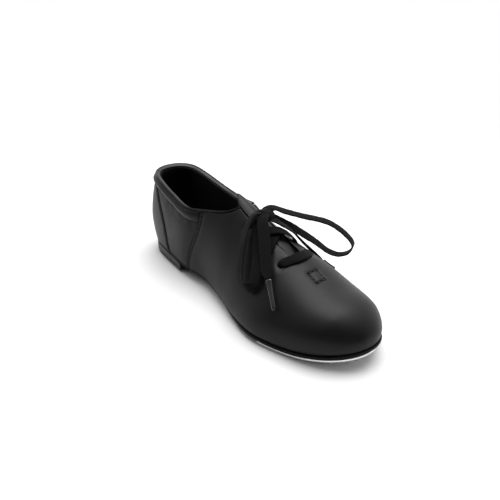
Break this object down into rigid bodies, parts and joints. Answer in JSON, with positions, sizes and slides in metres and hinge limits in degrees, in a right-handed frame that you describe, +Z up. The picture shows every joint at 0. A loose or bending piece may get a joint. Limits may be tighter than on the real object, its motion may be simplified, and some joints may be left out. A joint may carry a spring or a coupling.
{
  "type": "tap shoe",
  "caption": "Low-heeled lace-up tap shoe with a round toe, padded collar, tongue on a flexing base, and metal taps under toe and heel.",
  "frame": {"origin": "centre of the heel tap's ground face, on the shoe's centre line", "axes": "+X from heel to toe, +Y to the wearer's left, +Z up from the ground"},
  "size_m": [0.2608, 0.1088, 0.0819],
  "materials": {
    "upper_leather": "smooth, soft sheen",
    "lining": "matt lining",
    "board": "matt fibre board",
    "stay_cloth": "matt woven",
    "foam": "matt foam",
    "sole_leather": "waxed black edge",
    "heel_stack": "stacked layers, satin black",
    "rubber": "matt",
    "tap_metal": "brushed",
    "steel": "satin",
    "lace_cord": "flat woven",
    "aglet_plastic": "glossy"
  },
  "bodies": {
    "shoe": {"vamp": "upper_leather", "quarter_right": "upper_leather", "quarter_left": "upper_leather", "back_panel": "upper_leather", "collar_leather": "upper_leather", "collar_foam": "foam", "topline_binding": "upper_leather", "vamp_lining": "lining", "quarter_lining": "lining", "toe_puff": "board", "heel_counter": "board", "facing_stay_right": "stay_cloth", "facing_stay_left": "stay_cloth", "insole_board": "board", "heel_pad": "foam", "sock_liner": "lining", "shank": "steel", "forefoot_filler": "board", "heel_filler": "board", "outsole": "sole_leather", "tap_board": "sole_leather", "toe_tap": "tap_metal", "toe_tap_screw_1": "steel", "toe_tap_screw_2": "steel", "toe_tap_screw_3": "steel", "sole_pad": "rubber", "heel_block": "heel_stack", "heel_lift": "rubber", "heel_tap": "tap_metal", "heel_tap_screw_1": "steel", "heel_tap_screw_2": "steel", "heel_tap_screw_3": "steel", "heel_nail_1": "steel", "heel_nail_2": "steel", "heel_nail_3": "steel", "lace_bar": "lace_cord", "lace_cross_low": "lace_cord", "lace_cross_high": "lace_cord", "lace_riser_right": "lace_cord", "lace_riser_left": "lace_cord", "lace_knot": "lace_cord", "lace_loop_right": "lace_cord", "lace_end_right": "lace_cord", "lace_loop_left": "lace_cord", "lace_end_left": "lace_cord", "aglet_right": "aglet_plastic", "aglet_left": "aglet_plastic"},
    "tongue": {"tongue": "upper_leather", "tongue_lining": "lining"}
  },
  "joints": [
    {"name": "tongue_flex", "type": "hinge", "parent": "shoe", "child": "tongue", "pos_m": [0.164, 0, 0.0445], "axis": [0, 1, 0], "range_deg": [-12, 0], "stiffness_Nm_per_rad": 0.05, "springref_deg": 6.88}
  ]
}
